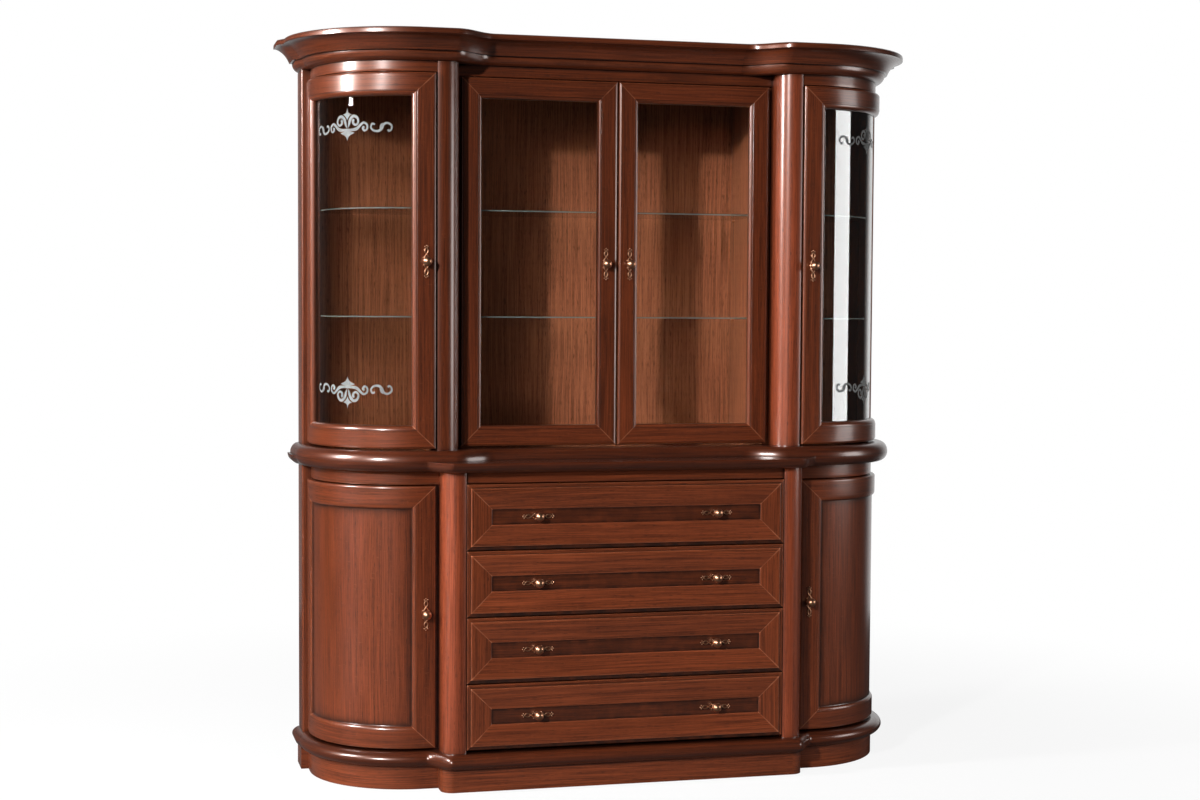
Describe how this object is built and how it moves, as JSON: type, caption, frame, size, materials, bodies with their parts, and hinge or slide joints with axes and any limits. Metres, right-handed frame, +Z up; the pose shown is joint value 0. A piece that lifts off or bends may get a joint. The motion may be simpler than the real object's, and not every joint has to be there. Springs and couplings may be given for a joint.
{
  "type": "display cabinet",
  "caption": "Two-part breakfront display cabinet with rounded ends, curved and flat glazed doors, drawers, cupboards and a deep cornice.",
  "frame": {"origin": "middle of the footprint, at floor level: centre of the bounding box in X and Y, bottom in Z", "axes": "+X to the cabinet's right-hand end as seen from the front, +Y to its back, +Z up"},
  "size_m": [1.931, 0.538, 2.15],
  "materials": {
    "stained_oak": "satin lacquer over a red-brown stain",
    "oak_veneer": "satin",
    "birch_ply": "clear lacquer",
    "aged_brass": "aged, polished on the high spots",
    "clear_glass": "polished"
  },
  "bodies": {
    "carcass": {"base_board": "stained_oak", "centre_shelf_high": "clear_glass", "centre_shelf_low": "clear_glass", "cornice": "stained_oak", "countertop": "stained_oak", "left_shelf_high": "clear_glass", "left_shelf_low": "clear_glass", "lower_back_panel": "oak_veneer", "lower_corner_post_left": "stained_oak", "lower_corner_post_right": "stained_oak", "lower_frieze": "stained_oak", "lower_partition_left": "oak_veneer", "lower_partition_right": "oak_veneer", "lower_rear_post_left": "stained_oak", "lower_rear_post_right": "stained_oak", "plinth": "stained_oak", "right_shelf_high": "clear_glass", "right_shelf_low": "clear_glass", "top_board": "oak_veneer", "upper_back_panel": "oak_veneer", "upper_base_board": "stained_oak", "upper_corner_post_left": "stained_oak", "upper_corner_post_right": "stained_oak", "upper_frieze": "stained_oak", "upper_partition_left": "oak_veneer", "upper_partition_right": "oak_veneer", "upper_rear_post_left": "stained_oak", "upper_rear_post_right": "stained_oak"},
    "drawer_1": {"drawer_1_box": "birch_ply", "drawer_1_front": "stained_oak", "drawer_1_knob_left": "aged_brass", "drawer_1_knob_right": "aged_brass"},
    "drawer_2": {"drawer_2_box": "birch_ply", "drawer_2_front": "stained_oak", "drawer_2_knob_left": "aged_brass", "drawer_2_knob_right": "aged_brass"},
    "drawer_3": {"drawer_3_box": "birch_ply", "drawer_3_front": "stained_oak", "drawer_3_knob_left": "aged_brass", "drawer_3_knob_right": "aged_brass"},
    "drawer_4": {"drawer_4_box": "birch_ply", "drawer_4_front": "stained_oak", "drawer_4_knob_left": "aged_brass", "drawer_4_knob_right": "aged_brass"},
    "lower_door_left": {"lower_door_left_knob": "aged_brass", "lower_door_left_leaf": "stained_oak"},
    "lower_door_right": {"lower_door_right_knob": "aged_brass", "lower_door_right_leaf": "stained_oak"},
    "upper_door_left": {"upper_door_left_frame": "stained_oak", "upper_door_left_glass": "clear_glass", "upper_door_left_knob": "aged_brass"},
    "upper_door_right": {"upper_door_right_frame": "stained_oak", "upper_door_right_glass": "clear_glass", "upper_door_right_knob": "aged_brass"},
    "centre_door_left": {"centre_door_left_frame": "stained_oak", "centre_door_left_glass": "clear_glass", "centre_door_left_knob": "aged_brass"},
    "centre_door_right": {"centre_door_right_frame": "stained_oak", "centre_door_right_glass": "clear_glass", "centre_door_right_knob": "aged_brass"}
  },
  "joints": [
    {"name": "drawer_1_slide", "type": "slide", "parent": "carcass", "child": "drawer_1", "axis": [0, -1, 0], "range_m": [0, 0.3]},
    {"name": "drawer_2_slide", "type": "slide", "parent": "carcass", "child": "drawer_2", "axis": [0, -1, 0], "range_m": [0, 0.3]},
    {"name": "drawer_3_slide", "type": "slide", "parent": "carcass", "child": "drawer_3", "axis": [0, -1, 0], "range_m": [0, 0.3]},
    {"name": "drawer_4_slide", "type": "slide", "parent": "carcass", "child": "drawer_4", "axis": [0, -1, 0], "range_m": [0, 0.3]},
    {"name": "lower_door_left_hinge", "type": "hinge", "parent": "carcass", "child": "lower_door_left", "pos_m": [-0.8755, 0.162, 0.492], "axis": [0, 0, -1], "range_deg": [0, 90]},
    {"name": "lower_door_right_hinge", "type": "hinge", "parent": "carcass", "child": "lower_door_right", "pos_m": [0.8755, 0.162, 0.492], "axis": [0, 0, 1], "range_deg": [0, 90]},
    {"name": "upper_door_left_hinge", "type": "hinge", "parent": "carcass", "child": "upper_door_left", "pos_m": [-0.8755, 0.162, 1.5035], "axis": [0, 0, -1], "range_deg": [0, 90]},
    {"name": "upper_door_right_hinge", "type": "hinge", "parent": "carcass", "child": "upper_door_right", "pos_m": [0.8755, 0.162, 1.5035], "axis": [0, 0, 1], "range_deg": [0, 90]},
    {"name": "centre_door_left_hinge", "type": "hinge", "parent": "carcass", "child": "centre_door_left", "pos_m": [-0.4595, -0.081, 1.5035], "axis": [0, 0, -1], "range_deg": [0, 90]},
    {"name": "centre_door_right_hinge", "type": "hinge", "parent": "carcass", "child": "centre_door_right", "pos_m": [0.4595, -0.081, 1.5035], "axis": [0, 0, 1], "range_deg": [0, 90]}
  ]
}
